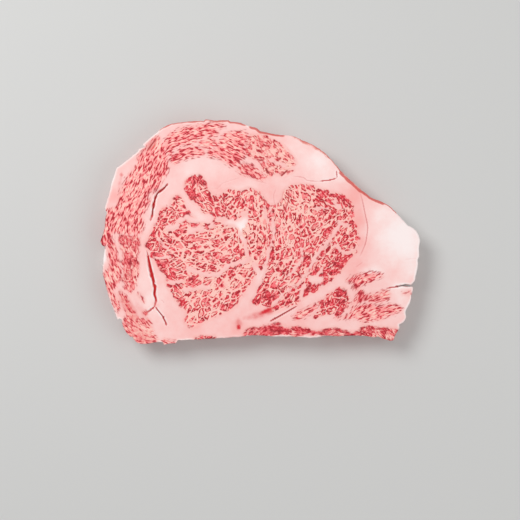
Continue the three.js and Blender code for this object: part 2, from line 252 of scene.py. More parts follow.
# Where the lean lies thicker, or thinner if the last number is below 0: radius, middle, amount
LEAN_TONES = [
    # flank
    (6, -92, 77, -2.8), (5, -93, 64, -1.1), (4, -96, 68, 0.8), (4, -79, 55, -1.1), (3, -91, 54, 0.8),
    (4, -105, 57, -1.6), (4, -99, 48, -0.5), (5, -109, 47, -0.9), (5, -102, 38, -1.1), (4, -94, 45, -0.9),
    (5, -107.5, 30.5, -1.5), (5, -114, 37, -1), (4, -93, 34, 2.3), (3, -126.5, 10, 1), (4, -103, 23.5, 0.7),
    (3, -110, 9.5, 0.9), (3, -122, 27, 0.5), (5, -116, 22.5, -1.2), (4, -131, 18, -1.2), (4, -128, 5, -1.6),
    (4, -122, 4, -1.1), (3, -118, 16, -1), (3, -106.5, 13, -1.3), (4, -95, 13, 0.5), (4, -115, 0, -0.5),
    (5, -125.5, -5.5, 1), (4, -136, -5, 1.3), (3, -116, -7, 0.7), (3, -109, -11, 0.7), (4, -114, -23, 0.7),
    (4, -112, -32, 0.5), (4, -106, -25, 0.8), (4, -109, -18.5, -0.9), (3, -116, -16, -0.5),
    (4, -126, -26, 1.3), (3, -135, -25, 0.7), (4.5, -128, -38, -2.8), (4, -130, -44, -0.5),
    (3.5, -108, -34.5, -1.9), (5, -120.5, -47, 3), (5, -108.5, -55.5, 2.8), (3, -101.5, -56.5, 1),
    (4, -116, -52, -0.5), (5, -120, -33, -0.5), (6, -125, -56, -0.8), (8, -112, -62, -0.6),
    (8, -104, -83, -1.2), (6, -98, -94, -0.5), (5, -93, -82, -0.5), (4.5, -108, -68, -1.5),
    (5, -92.5, -88, -2), (3, -100, -80, -0.8), (4, -82, -92.5, -1.8), (3, -99, -71.5, 0.8),
    (5, -77, -94.5, 0.8), (5, -48, -90, 0.3),
    # crown
    (16, -66, 80, -0.35), (4, -51, 84, 0.6), (4, -74, 64, 0.6), (6, -68, 72, 0.7), (3, -69, 82.5, 0.8),
    (4, -70, 86, -0.5), (5, -75.5, 87, -1.6), (4, -49, 91.5, -2.6), (3, -44.5, 88, 0.8), (5, -45, 80, -0.7),
    (3, -60.5, 78.5, -1.5), (6, -48, 74.5, -1.4), (3.5, -58.5, 67, 1.2), (3, -68, 66, -0.8),
    (3.5, -37.5, 66, 1), (4, -36, 71, -0.5), (5, -24, 67, -0.5), (6, -29, 79, -1.1), (4, -22, 87, -1.5),
    (4, -29, 88, -0.6), (4, -19, 62, 1.5), (3.5, -11, 62, 1.4), (3, -13, 71, 0.5), (5, -14, 66.5, 0.5),
    (4, -6, 66, -0.9), (6, -11, 53, 0.6), (3.5, -7, 49, 0.5), (4, -16, 54.5, -1.3), (4, -2, 56, -0.9),
    (4, 9, 51, -0.5), (8, 12, 68, -0.8), (6, 19, 57, -0.8), (5, 20, 71, -0.6), (3, 12, 76, 0.8),
    (4, 10, 69, -1.2), (4, -8, 82.5, -1.4), (4, -5, 84.5, -0.6), (3, 11, 54.5, -1.2), (5, 25, 58, -1.9),
    (3.5, 15, 63.5, 1.4), (3, 25, 62, 0.9), (3, 24, 67, -0.5), (3, -1, 67, -0.5), (3, 4, 73, 0.5),
    (4, 5, 78, 0.4),
    # left eye
    (5, -60, 43, 0.6), (4, -55, 46, 0.6), (5, -51, 44, 1.1), (4, -61.5, 36.5, 1.9), (4, -57, 31, 1),
    (3, -59, 29, 1.6), (3, -45.5, 33.5, 1.2), (3, -55, 39.5, -1.4), (2, -60, 40.4, -1.3),
    (2, -61.7, 35, -1.1), (2.5, -52, 43, -0.6), (3, -85.5, 12.5, 0.7), (4, -62, 15.5, 2.2),
    (3, -71.5, 29, 1.1), (3, -78, 8, 0.6), (3, -78, 13, -0.9), (2.5, -71, 27, -0.7), (3, -76, 26, 0.6),
    (5, -74, 19, 0.7), (3, -66, 20, -0.7), (4, -58.5, 9, 0.5), (4, -99, -10, 2.1), (4, -87, -14, 0.5),
    (3, -91, -19, 0.7), (4, -91, -4, 0.5), (4, -86.5, 3, 1), (5, -90, -23, 1.3), (4, -88, -26, 0.8),
    (4, -80, 2.5, -1.7), (4, -70, 3, 0.8), (3, -68.5, -4.5, 1), (4, -78, -4, 0.5), (4, -61.5, -5, 0.6),
    (3, -63.5, 2.5, -1.3), (4, -69, -10, -1), (5, -62, -12, -0.7), (3, -67, -25, -0.8), (4, -61, -23, -0.5),
    (4, -78, -31, -0.6), (3, -83, -32, -0.5), (4, -80.5, -25.5, 0.9), (5, -80, -33, 0.9), (4, -83, -20, -0.9),
    (4, -56, 7, 2.1), (5, -40, 11, 0.8), (3.5, -43, 15, 1.2), (3, -43, 7, 3.2), (3, -49, 4, -0.6),
    (4, -46, 20, -0.6), (3, -40, 25, 0.5), (4, -36, 22.5, 1.3), (3, -32, 20, 0.9), (4.5, -34.5, 3.5, -1.9),
    (4, -54, -4.5, -0.9), (5, -45, -12, -1), (5, -38, -14, 0.6), (4, -39, -23, 0.7), (5, -57, -14.5, 0.9),
    (3, -48, -20, 0.5), (4, -57, -20, -0.8), (3, -48, -32, 0.5), (3, -40, -31, 0.6), (3, -21, 29, 1),
    (4, -15, 24.5, 0.6), (3, -9, 28, 1), (5, 6, 27, 1.4), (3, 9, 16, 0.6), (3, -6, 20, 0.7),
    (3, -17.5, -17, 1), (4, -29, -12, -0.6), (5, -13, 3.5, -2.8), (3, -8, -1, 0.8), (5, -3, 10, -0.5),
    (3, -3, 34, -0.7), (4, -27, 35, -1.2), (3, -14, 35, -0.5), (4, -0.5, 28, -1.3), (3, 0, 21, -0.8),
    (4, -36, -15, -0.5), (3, -20.5, 15, -0.9), (4, -24.5, 4.5, -0.8), (3, 4.5, 8.5, -1), (3, -17.5, -7, -1),
    (4, -2, -5, -0.7), (4, -3.5, -19, 0.6), (3, -30, -1, -0.5), (3, -27, 10, 0.7), (3.5, 3.5, -8, 0.7),
    (4, -17.5, -54, 0.6), (4, -31.5, -24, 1.2), (3, -27, -35, 0.6), (4, -36, -28.5, -1.4),
    (4, -31.5, -29.5, -0.8), (4, -26, -45, -1.1), (4, -18, -34, -0.5), (4, -23.5, -32, 0.8),
    (4.5, -15, -40.5, -1.4), (4, -10.5, -25, -2.6), (3, -24, -40, -0.5), (4, -22, -51.5, -0.8),
    (3, -25, -63.5, 1.1), (3, -15, -44, 0.5), (4, -33, -46, 1.1), (3, -33, -50, -0.6), (4, -5, -31, 0.9),
    (4, -80, -39, 0.9), (3, -74, -36, 0.9), (4, -57, -43, 1), (3, -50, -43, 0.5), (4, -78, -44, 0.8),
    (4, -70, -47, 0.6), (3, -68, -62, 1.9), (3, -72, -56, 0.8), (3, -55, -64, 0.9), (3, -48, -74, 0.6),
    (4, -44, -62, 0.9), (3, -35, -64, 0.7), (4, -46, -41, -0.6), (5, -60, -57, -0.5), (5, -60, -72, -0.8),
    (6, -43, -68, -0.7), (5, -51.5, -49.5, -1.8), (5, -38, -55, -0.6), (3, -68.5, -53.5, -1.2),
    (3, -51, -61, -0.6), (4, -52, -71, -0.7), (3, -34, -69, -0.5), (3, -37, -58, -0.5),
    (3, -61.5, -40.5, -0.8), (3, -44, -55, 0.5), (5, 4, -55.5, 1), (5, 11, -54, 0.9), (4, 22, -60, 0.7),
    (4, 4.5, -60, -0.8), (3, 6, -66, 0.7), (5, -3, -56, 0.9), (4, -4.5, -60.5, 0.7), (4, 8.6, -68.5, 0.6),
    (4, 14, -48, 0.6),
    # right eye
    (4, 56, 33, 1.7), (4, 50.5, 27, 1.1), (4, 61, 23.5, 0.9), (5, 71, 31, 0.9), (4, 73, 27, 0.8),
    (3, 62, 16, 1.2), (4, 55, 18, 0.9), (4, 81, 6.5, 1.1), (3, 57, 3, 0.6), (3, 36.5, 11.5, 1.2),
    (3, 28, 28, 0.5), (4, 72, -2.5, 1.1), (5, 22, 26, -0.8), (6, 34, 23, -0.7), (3.5, 44.5, 34.5, 0.5),
    (3, 49, 31, 0.5), (7, 22, 7, -0.9), (6, 23, -12, -0.9), (5, 40, 4, -0.6), (4, 45, 17.5, -0.9),
    (4, 22, 18, 0.7), (3, 38, 4, 0.6), (4, 57, -3, 0.6), (3, 67.5, -7, 1), (4, 16, -22, 0.5),
    (3, 25, -15, 0.5), (3, 33, -10, 0.4), (4, 19, 23.5, -1.2), (4, 32, 16, -0.8), (3, 57, 15, -1),
    (3, 52, -2, -0.8), (3.5, 57.5, 7, -1.6), (3, 63, -22, -0.5), (6, 16, 10, 0.4), (6, 32, -14, 0.8),
    (5, 37, -20, 0.9), (5, 40, -26, 0.5), (3, 76.5, -26, 2.8), (3.5, 78, 14.5, 1.6), (3.5, 51.5, 13.5, 0.9),
    (4, 62, 1, 0.5), (3, 17.5, 16.5, -1), (4, 23, -3, -1), (3, 31, -17, -1.1), (3, 42, -18, -1.1),
    (3, 45, 25, -1.1), (3, 41, 19.5, -0.9), (3, 45, 6, -0.5), (3, 67, 17, -0.6), (4, 34, 36, -0.7),
    (4, 66, -3.5, -1), (3, 60.5, -13, -0.8), (4, 76, 3, -0.9), (3.5, 17, 2.5, 1.6), (4, 16, -10, 0.8),
    (3.5, 22.5, 13, 0.9), (3, 56, 21.5, 0.6), (6, 52, 21, -0.4), (3, 65.5, 7, 0.9), (3, 56, -9, 0.6),
    (5, 45, -9, 0.7), (3, 53, -17, 1), (4, 50.5, -11, -0.9), (4, 26, 33.5, 0.5), (3, 9, -20, 0.9),
    (3, 9, -26, 0.8), (4, 83, -13, 0.5), (3, 54, 4, 0.5), (3, 20, -13, 0.8), (5, 66, -15, 0.8),
    (4, 73, -23, 1), (5, 66, -26, 0.9), (5, 57, -26, 0.7), (5, 56, -35, 0.9), (5, 48, -33, 1),
    (4, 44, -45, 0.5), (4, 54.5, -47, 2.4), (4, 39, -27, 0.9), (3, 34, -36, 0.6), (5, 19, -36, 0.9),
    (5, 26, -49.5, 0.7), (3, 53, -28, -0.9), (4, 46, -40, 0.8), (3, 26, -44.5, -0.8), (4, 24, -38.5, -1.2),
    (3.5, 50.5, -35, 2.6), (3, 56, -39, 0.6), (5, 63.5, -35.5, 0.8), (3, 17, -34, -0.5), (3, 76, -20, 0.8),
    (4.5, 39, -56, 2.3), (4, 45, -50.5, 1.4), (4, 35, -41, 0.6), (4, 33, -27, -0.5), (4, 42, -33, -0.5),
    # wedge and strips
    (4, 71.5, -50, 2.8), (4, 64, -53, 0.5), (5, 73, -59, 0.6), (4, 61, -60, 0.8), (4, 53, -59, 1.3),
    (4, 56, -66, 0.8), (5, 68, -67, 1.1), (3, 79, -41, 0.7), (3, 84, -45.5, 1.2), (6, 89, -51, 1.1),
    (3, 92, -72, 0.6), (4, 96, -61.5, 1.7), (4, 104, -62, 2.2), (4, 97, -57, -1.1), (4, 85, -68, -0.5),
    (4, 49, -69, -0.5), (3.5, 101, -38, -0.9), (4, 34, -73, -1.2), (4, 81, -70, -0.9), (5, 97.5, -68.5, -1.6),
    (4, 109, -66.5, -1), (4, 117.5, -65.5, -0.9), (4, 80, -57, -0.8), (4, 94, -74, -0.8),
    (4.5, 47.5, -72.5, 0.9), (3.5, 88, -66, -1.3), (3, 77.5, -72, -0.9), (4.5, 110.5, -53, -1.4),
    (3, 88, -60, 0.6), (4, 91, -39.5, -0.7), (4, 27, -64, -0.9), (6, 99, -56, -0.5), (5, 40, -66, -0.5),
    (3, 72, -48.5, 0.8), (3, 85, -59, 0.9), (3.5, 16, -63.5, 1),
    # rib side
    (5, -8, -85, 0.8), (5, 4, -84, 1.2), (6, 12, -82, 1.2), (5, 21, -84, 1.2), (4, 33, -83, 1.9),
    (4, 45, -84, 2.9), (4, 55.5, -85.5, 1.7), (5, 69, -84.5, 1.7), (5, 78, -86, 2.3), (4, 84, -84, 0.9),
    (5, 94, -82.5, 1), (4, 105, -85, 0.9), (4, 116, -84, 0.5), (4, 102, -88, -0.8), (5, 37, -86, 0.7),
    (4, 70, -88.5, -2.2), (4, 29, -89, -1.1), (3, 16, -88, 0.5),
]

# Soft pink and red flushes under the surface: width, strength and points
FLUSHES = [
    (6, 0.7, (-121, -54), (-115, -62), (-109, -70), (-106, -78)),
    (9, 0.5, (-108, -78), (-104, -88), (-90, -96)),
    (5, 0.45, (-108, -58), (-102, -68), (-97, -76)),
    (4, 0.75, (-14, -74), (-2, -71), (8, -67), (14, -62)),
    (4.2, 0.7, (-18.8, -82.5), (-18.3, -74)),
    (2.4, 0.75, (-48.5, 46.5), (-56.5, 46.5), (-61.5, 43.5), (-62.5, 39), (-60.5, 34), (-55.5, 28.5)),
    (3.2, 1.1, (4, -70), (12, -65.5)),
    (2, 1.5, (-99.5, -69.5), (-97, -70)),
    (3, 0.9, (-56, -92), (-40, -91)),
    (1.6, 0.7, (-42, -91.8), (-28, -91.2), (-12, -89.8)),
    (1.4, 1.5, (-96.5, 70.5), (-92.5, 73), (-89.5, 78.5)),
    (3.5, 0.7, (-101, 70), (-95, 76), (-88, 83)),
    (2, 0.9, (-119, 51.5), (-119.5, 48)),
    (2.5, 0.5, (-119, 50), (-122, 36)),
]

# Blood in the fat: the middle of each spot, its half length and half width, and its direction in degrees
BLOOD = [(-18.4, -81.4, 3, 2.2, 90), (5.6, -67.2, 8, 2.2, 25)]

# Which way the strands of lean run, in degrees from +X, at places over the face
GRAIN = [
    (-100, 60, 62), (-110, 40, 62), (-90, 70, 60), (-85, 50, 65), (-105, 20, 60), (-120, 10, 65),
    (-130, 0, 80), (-112, 0, 80), (-128, -10, -70), (-124, -28, -62), (-112, -10, -75), (-112, -30, -70),
    (-125, -50, -65), (-110, -45, -75), (-118, -62, -58), (-108, -72, -55), (-100, -66, -50),
    (-100, -82, -35), (-96, -92, -12), (-70, 85, 15), (-50, 89, 10), (-35, 91, 5), (-68, 70, 15),
    (-52, 70, 5), (-30, 78, -15), (-20, 70, -30), (-40, 68, -15), (-15, 82, -10), (-10, 55, -35),
    (0, 75, -40), (5, 60, -45), (15, 75, -45), (20, 65, -50), (10, 50, -40), (22, 53, 20), (-58, 42, 60),
    (-50, 45, -50), (-45, 30, -50), (-38, 20, -45), (-25, 28, 60), (-12, 28, 65), (3, 25, -65), (-5, 12, -60),
    (-72, 26, -30), (-80, 15, 50), (-66, 17, -50), (-90, 0, 60), (-80, -5, -40), (-95, -12, 50),
    (-75, -12, -20), (-60, -5, 25), (-45, -5, 10), (-30, -8, 30), (-18, -12, -75), (-60, -18, 10),
    (-40, -18, 20), (-30, -24, 10), (-80, -28, 0), (-60, -27, 10), (-78, -38, -30), (-65, -40, 20),
    (-50, -42, 25), (-72, -50, -45), (-60, -55, 35), (-45, -50, 45), (-30, -45, 40), (-25, -35, 30),
    (-12, -38, 50), (-40, -62, 50), (-25, -60, 45), (-55, -72, 40), (-5, -10, 70), (0, -25, 65), (0, 5, -70),
    (20, 10, 75), (30, 30, -50), (45, 35, -50), (60, 28, -40), (72, 28, -40), (78, 15, 60), (40, 15, 70),
    (55, 12, 60), (30, 0, 75), (50, 0, 65), (65, 5, 60), (76, -5, 60), (15, -10, 80), (40, -15, 70),
    (55, -15, 62), (70, -22, 45), (25, -25, 65), (45, -30, 62), (60, -32, 55), (15, -38, 50), (32, -40, 62),
    (45, -46, 40), (8, -52, 50), (22, -56, 55), (5, -66, 20), (12, -60, 45), (36, -55, 40), (60, -60, 60),
    (70, -52, 45), (72, -64, 70), (55, -68, 30), (38, -68, 30), (90, -38, 27), (82, -46, 55), (86, -56, 60),
    (100, -56, 25), (95, -62, 25), (88, -70, 25), (105, -68, 22), (112, -66, 18), (0, -84, 25),
    (20, -83, -10), (35, -83, -15), (60, -84, 15), (80, -87, 0), (95, -84, -35), (108, -86, -50),
]

# Thin dark lines in the cut face: the depth of each, its width, how red-brown it is, and its points
CREASES = [
    (0.6, 0.7, 0.9, (-79, 42.6), (-83, 37.8), (-88, 33.8), (-90.4, 28.5)),
    (0.5, 0.7, 0.9, (-91.4, 24), (-92.3, 19), (-92.6, 14.5)),
    (0.4, 0.6, 0.6, (128.5, -46.3), (123, -45.6), (117, -46.6), (108, -48)),
    (0.2, 0.8, 0.32, (86, 36), (88, 28), (90.7, 15), (92.6, 5), (92, -2),
     (90.8, -9), (87.3, -17.5), (85, -21)),
    (0.15, 0.5, 0.2, (89, -25), (82, -30)),
    (0.15, 0.6, 0.25, (27.6, 48.6), (37, 47.5), (41.2, 44.9), (52.6, 43.9)),
    (0.25, 0.6, 0.55, (51, 44.2), (60, 45.2), (66, 47)),
    (0.2, 0.6, 0.45, (66, 54), (66.3, 46.5)),
    (0.5, 1.2, 1.0, (5, 56), (6, 53), (8.5, 50.5)),
    (0.5, 1.0, 0.9, (24, 54), (18, 48.5)),
    (0.12, 0.5, 0.16, (-43.6, 38.7), (-37.6, 37.8), (-32, 42.4), (-25.9, 44.7), (-15.7, 47.7)),
    (0.3, 0.65, 0.9, (8, -76.6), (20, -69.9), (32, -63)),
    (0.15, 0.5, 0.2, (-85, -57.5), (-82, -61)),
    (0.15, 0.5, 0.15, (124, -23), (136, -22)),
    (0.2, 0.7, 0.8, (-89.6, -64.5), (-86.6, -68.5), (-83, -73.4), (-80.2, -80.6)),
    (0.15, 0.6, 0.7, (-91.5, -64.6), (-97.6, -69.4)),
    (0.3, 1.0, 0.8, (-89, 81.5), (-93, 76), (-97.5, 70)),
    (0.1, 0.5, 0.2, (14, 38.5), (11.8, 32), (12.5, 26), (15, 23)),
    (0.1, 0.5, 0.22, (20, 36.5), (19, 30), (15.5, 25.5)),
    (0.1, 0.6, 0.5, (24.3, 38), (24.8, 30), (23, 23), (19.5, 18), (16, 14.5)),
    (0.1, 0.5, 0.18, (-5, 45.3), (1, 43.6), (6.5, 42.3)),
    (0.3, 0.8, 0.8, (-3.5, 63), (0, 62.3), (4, 62.6)),
    (0.1, 0.5, 0.4, (-3.5, 36), (1.5, 30.8), (4, 26)),
]

# Opened seams: the width at the mouth, the depth, where along it gapes most, and its points
CLEFTS = [
    (3.3, 2.8, 0.5, (-97.6, -15), (-96.4, -20), (-94.2, -31), (-91.6, -42), (-90.4, -48), (-90.9, -53),
     (-89.6, -58), (-90.6, -64.5)),
    (1.9, 2.4, 0.55, (-79.6, 41.6), (-83, 37.8), (-88, 33.8), (-90.5, 28),
     (-92.2, 20), (-92.6, 15.5), (-94.6, 9.5)),
    (0.9, 1.2, 0.3, (-90.4, -63.4), (-94, -66), (-97.4, -68.6)),
    (1.0, 1.4, 0.3, (-90, -63.6), (-87.6, -67.4), (-83, -73.4), (-80.4, -79.6)),
]

# Where the fat is whiter than elsewhere, or pinker if the last number is below 0: radius, middle, amount
FAT_TONES = [
    (15, 47, 65, 0.8), (12, 33, 74, 0.3), (24, 117, -6, 0.8), (12, 132, -12, 0.5), (12, -58, 56, 0.2),
    (7, -98, -42, 0.3), (6, -95, -57, 0.3), (5, -86, -50, 0.2), (5, -17, 7, 0.9), (6, -52, 13, 0.3),
    (4, -135, -22, 0.8), (4, -130, 47, 0.6), (5, 0, -36, 0.4), (24, -35, -78, -0.15), (18, -60, -88, -0.2),
    (8, 86, 10, -0.6), (8, 88, -8, -0.5), (14, 83, -30, -0.35), (12, 25, -74, -0.35), (8, 114, -34, -0.2),
    (9, 120, -58, 0.2), (5, 128, -66, 0.3), (10, 4, 41, -0.2), (8, 82, 33, -0.6), (9, 37, 66, -0.3),
    (5, 82, 5, -0.3), (6, -60, 40, -0.3), (9, 103, 18, 0.5), (8, 131, -33, 0.5), (6, 118, -46, 0.4),
    (5, 92, -34.5, 0.6), (6, 99.5, -34, 0.6), (8, 56, 48, 0.3), (7, 70, 50, 0.5), (8, -38, 55, 0.3),
    (9, 46, 76, -0.5), (9, -35, 40, -0.3), (8, -125, 32, -0.4), (3, -14, 3, 0.8), (3, -16, -5, 0.6),
    (3, -25, 9, 0.4), (3, -12, 10, 0.5), (9, -92, -62, 0.4), (14, -42, -84, 0.25), (14, 124, 6, 0.35),
    (8, 84, 20, -0.35), (4, -90, -62, -0.6), (7, -55, -80, -0.3), (9, 108, 10, -0.2), (6, 122, -55, 0.3),
    (6, -17, 46, -0.4), (8, 14, 32, -0.3), (10, -20, 38, 0.2), (6, -62, 52, 0.3), (6, 100, 22, -0.3),
    (8, -18, -82, -0.3), (6, 26, -72, 0.4),
]

# Dried red-brown skin along the rim: how far in from the rim, width, strength and points of the stretch
SKIN = [
    (0, 1.0, 1.2, (-92, 83), (-79, 92), (-60, 97.5), (-40, 100), (-18, 97), (-4, 92)),
    (0.3, 1.5, 0.95, (-46, 99), (-32, 98.5), (-18, 95), (-8, 92)),
    (0.3, 1.6, 1.25, (-12, 92.5), (-4, 90), (4, 86.5), (9, 85.5), (24, 84.5)),
    (0, 0.9, 0.9, (22, 84), (40, 80), (56, 69.5), (66, 57), (75, 46)),
    (1.2, 1.6, 0.6, (26, 84), (40, 79), (54, 70.5), (62, 62)),
    (1.4, 1.6, 1.35, (68, 54), (76.5, 44.3), (82, 38.5), (89, 33)),
    (0.6, 1.6, 1.4, (84, 37), (92, 31), (97, 28.6), (103, 26.5), (109, 25)),
    (0, 0.7, 1.1, (102, 26.5), (112, 22), (119, 16)),
]
CAP_ENDS = ((-84, 88), (126, 12))  # the rim between these, over the top, is the skin side of the fat cap


def spline(points, closed=False, step=0.8):
    """A smooth line through the drawn points, as points at most a step apart."""
    p = np.array(points, float)
    if len(p) == 2:
        count = max(2, int(np.linalg.norm(p[1] - p[0]) / step) + 1)
        return p[0] + (p[1] - p[0]) * np.linspace(0, 1, count)[:, None]
    if closed:
        p = np.vstack([p[-1:], p, p[:2]])
    else:
        p = np.vstack([2 * p[:1] - p[1:2], p, 2 * p[-1:] - p[-2:-1]])
    out = []
    for a, b, c, d in zip(p, p[1:], p[2:], p[3:]):
        count = max(1, int(math.ceil(np.linalg.norm(c - b) / step)))
        for t in np.arange(count) / count:
            out.append(b + 0.5 * t * (c - a + t * (2 * a - 5 * b + 4 * c - d + t * (3 * (b - c) + d - a))))
    if not closed:
        out.append(p[-2])
    return np.array(out)


def nearest(points, line, closed=False):
    """For each point: its distance to a line, and the share of the line's length there."""
    start = line if closed else line[:-1]
    end = np.roll(line, -1, axis=0) if closed else line[1:]
    along = end - start
    length = np.maximum(np.linalg.norm(along, axis=1), 1e-9)
    before = np.concatenate([[0], np.cumsum(length)[:-1]])
    best = np.full(len(points), 1e9)
    share = np.zeros(len(points))
    for a, v, size, run in zip(start, along, length, before):
        to = points - a
        t = np.clip(to @ v / size ** 2, 0, 1)
        off = to - t[:, None] * v
        d = np.hypot(off[:, 0], off[:, 1])
        closer = d < best
        best[closer] = d[closer]
        share[closer] = (run + t[closer] * size) / length.sum()
    return best, share


def inside(points, loop):
    """Whether each point lies inside a closed loop."""
    x, y = points[:, 0], points[:, 1]
    found = np.zeros(len(points), bool)
    for (x0, y0), (x1, y1) in zip(loop, np.roll(loop, -1, axis=0)):
        if y0 != y1:
            crosses = (y0 > y) != (y1 > y)
            found ^= crosses & (x < x0 + (x1 - x0) * (y - y0) / (y1 - y0))
    return found


def smooth_step(low, high, value):
    t = np.clip((value - low) / (high - low), 0, 1)
    return t * t * (3 - 2 * t)


def ripple(points, size, seed):
    """Smooth noise from -1 to 1 at each point, with swells of about the given size."""
    shift = Vector((seed * 17.3, seed * 5.1, seed * 9.7))
    return np.array([noise.noise(Vector((*p, 0)[:3]) / size + shift) for p in points])


def drawn(points):
    """Drawn millimetres as the slice's own millimetres."""
    return np.array(points, float) - DRAWN_MIDDLE


def tree_of(points):
    """A search tree of points in the plane."""
    tree = kdtree.KDTree(len(points))
    for i, (x, y) in enumerate(points):
        tree.insert((x, y, 0), i)
    tree.balance()
    return tree


def rim_of(solid):
    """The steak's outline just under its upper face, as evenly spaced points, clockwise from the split."""
    cut = bmesh.new()
    cut.from_mesh(solid.data)
    bmesh.ops.remove_doubles(cut, verts=cut.verts, dist=1e-6)
    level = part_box("steak")[1].z * CUT_LEVEL
    bmesh.ops.bisect_plane(
        cut, geom=cut.verts[:] + cut.edges[:] + cut.faces[:], dist=1e-7, plane_co=(0, 0, level),
        plane_no=(0, 0, 1), clear_outer=True, clear_inner=True,
    )
    loops = []
    left = set(cut.verts)
    while left:
        here = left.pop()
        loop = [here]
        while here:
            ahead = [e.other_vert(here) for e in here.link_edges]
            here = next((v for v in ahead if v in left), None)
            if here:
                left.discard(here)
                loop.append(here)
        loops.append(np.array([(v.co.x, v.co.y) for v in loop]) / MM)
    cut.free()
    loop = max(loops, key=len)
    if np.sum(loop[:, 0] * np.roll(loop[:, 1], -1) - loop[:, 1] * np.roll(loop[:, 0], -1)) > 0:
        loop = loop[::-1]
    start = np.linalg.norm(loop - drawn(RIM_START), axis=1).argmin()
    return evenly(np.roll(loop, -start, axis=0), RIM_STEP)


def evenly(loop, step):
    """A closed loop as points that lie one step apart along it."""
    ring = np.vstack([loop, loop[:1]])
    run = np.concatenate([[0], np.cumsum(np.hypot(*np.diff(ring, axis=0).T))])
    count = round(run[-1] / step)
    at = np.arange(count) * run[-1] / count
    return np.stack([np.interp(at, run, ring[:, 0]), np.interp(at, run, ring[:, 1])], axis=1)


def sheet_points(rim, step, lines):
    """Points that fill the rim in rows, clear of the rim and of the lines that the mesh has to follow."""
    low, high = rim.min(0), rim.max(0)
    rows = np.arange(low[1], high[1], step * math.sqrt(3) / 2)
    grid = np.array([
        (x, y) for k, y in enumerate(rows) for x in np.arange(low[0] + step / 2 * (k % 2), high[0], step)
    ])
    grid = grid[inside(grid, rim)]
    tree = tree_of(np.vstack([rim, *lines]))
    return grid[[tree.find((x, y, 0))[2] > step * CLEARANCE for x, y in grid]]


def fill(rim, step, lines):
    """Triangles inside the rim, with edges along the given lines.

    A plain fill of the rim leaves long thin triangles and can't follow the creases, so the points are laid
    out evenly here and joined by Blender's own triangulation.
    """
    points = [rim, *lines, sheet_points(rim, step, lines)]
    starts = np.cumsum([0] + [len(p) for p in points])
    edges = [(i, (i + 1) % len(rim)) for i in range(len(rim))]
    for k, line in enumerate(lines, start=1):
        edges += [(int(starts[k]) + i, int(starts[k]) + i + 1) for i in range(len(line) - 1)]
    corners, _, faces, *_ = delaunay_2d_cdt([Vector(p) for p in np.vstack(points)], edges, [], 1, 1e-5)
    return corners, faces


def gape_at(share, widest):
    """How far an opened seam gapes at each share of its length, 1 where it is widest."""
    spread = np.where(share < widest, share / widest, (1 - share) / (1 - widest))
    return np.sin(np.clip(spread, 0, 1) * math.pi / 2) ** 0.55


def cleft_lines():
    """For each opened seam: its middle, slopes and lips, as lines that the mesh follows."""
    lines = []
    for width, _, widest, *points in CLEFTS:
        middle = spline(drawn(points), step=LINE_STEP)
        gape = width / 2 * gape_at(np.linspace(0, 1, len(middle)), widest)
        along = np.gradient(middle, axis=0)
        along /= np.linalg.norm(along, axis=1)[:, None]
        out = np.stack([-along[:, 1], along[:, 0]], axis=1)
        lines.append(middle)
        for side in (1, -1):
            for share_out, extra, least in ((0.5, 0, 0.9), (1, 0, 0.45), (1, LIP, 0.45)):
                reach = gape * share_out + extra
                line = (middle + out * (reach * side)[:, None])[gape > least]
                if len(line) > 1:
                    lines.append(line)
    return lines


def build_mesh(rim):
    """The slice as an upright prism, in millimetres, with finely meshed faces and wall."""
    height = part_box("steak")[1].z / MM
    creases = [spline(drawn(points), step=LINE_STEP) for _, _, _, *points in CREASES]
    body = bmesh.new()
    ring = [body.verts.new((x, y, 0)) for x, y in rim]
    edges = [body.edges.new((a, b)) for a, b in zip(ring, ring[1:] + ring[:1])]
    for _ in range(WALL_STEPS):
        made = bmesh.ops.extrude_edge_only(body, edges=edges)["geom"]
        raised = [v for v in made if isinstance(v, bmesh.types.BMVert)]
        bmesh.ops.translate(body, verts=raised, vec=(0, 0, height / WALL_STEPS))
        edges = [
            e for e in made
            if isinstance(e, bmesh.types.BMEdge) and abs(e.verts[0].co.z - e.verts[1].co.z) < 1e-6
        ]
    for z, step, lines in ((height, TOP_STEP, cleft_lines() + creases), (0, UNDER_STEP, [])):
        corners, faces = fill(rim, step, lines)
        made = [body.verts.new((x, y, z)) for x, y in corners]
        for face in faces:
            body.faces.new([made[i] for i in face])
    bmesh.ops.remove_doubles(body, verts=body.verts, dist=1e-4)
    bmesh.ops.recalc_face_normals(body, faces=body.faces)
    bmesh.ops.triangulate(body, faces=body.faces)
    return body


class Slice:
    """The prism's vertices, with what is known of the place of each."""

    def __init__(self, mesh, rim):
        flat = np.zeros(len(mesh.vertices) * 3)
        mesh.vertices.foreach_get("co", flat)
        self.co = flat.reshape(-1, 3)
        self.height = self.co[:, 2].max()
        self.up = self.co[:, 2] / self.height
        self.plan = self.co[:, :2].copy()
        self.rim = rim
        self.on_top = self.up > 0.999
        self.under = self.up < 0.001
        self.round_rim()
        self.drift()

    def round_rim(self):
        """How far each vertex is from the rim, how far round it lies, and which way is inwards there."""
        tree = tree_of(self.rim)
        found = [tree.find((x, y, 0)) for x, y in self.plan]
        at = np.array([f[1] for f in found])
        self.station = at * RIM_STEP
        self.from_rim = np.array([f[2] for f in found])
        along = np.roll(self.rim, -RIM_REACH, axis=0) - np.roll(self.rim, RIM_REACH, axis=0)
        along /= np.linalg.norm(along, axis=1)[:, None]
        self.inward = np.stack([along[:, 1], -along[:, 0]], axis=1)[at]

    def drift(self):
        """Where the meat at each vertex comes up to the upper face, as the seams lean a little on the way."""
        down = (1 - self.up) * MEAT_DRIFT
        self.meat = self.plan + np.stack([down * ripple(self.plan, 45, seed) for seed in (4, 5)], axis=1)


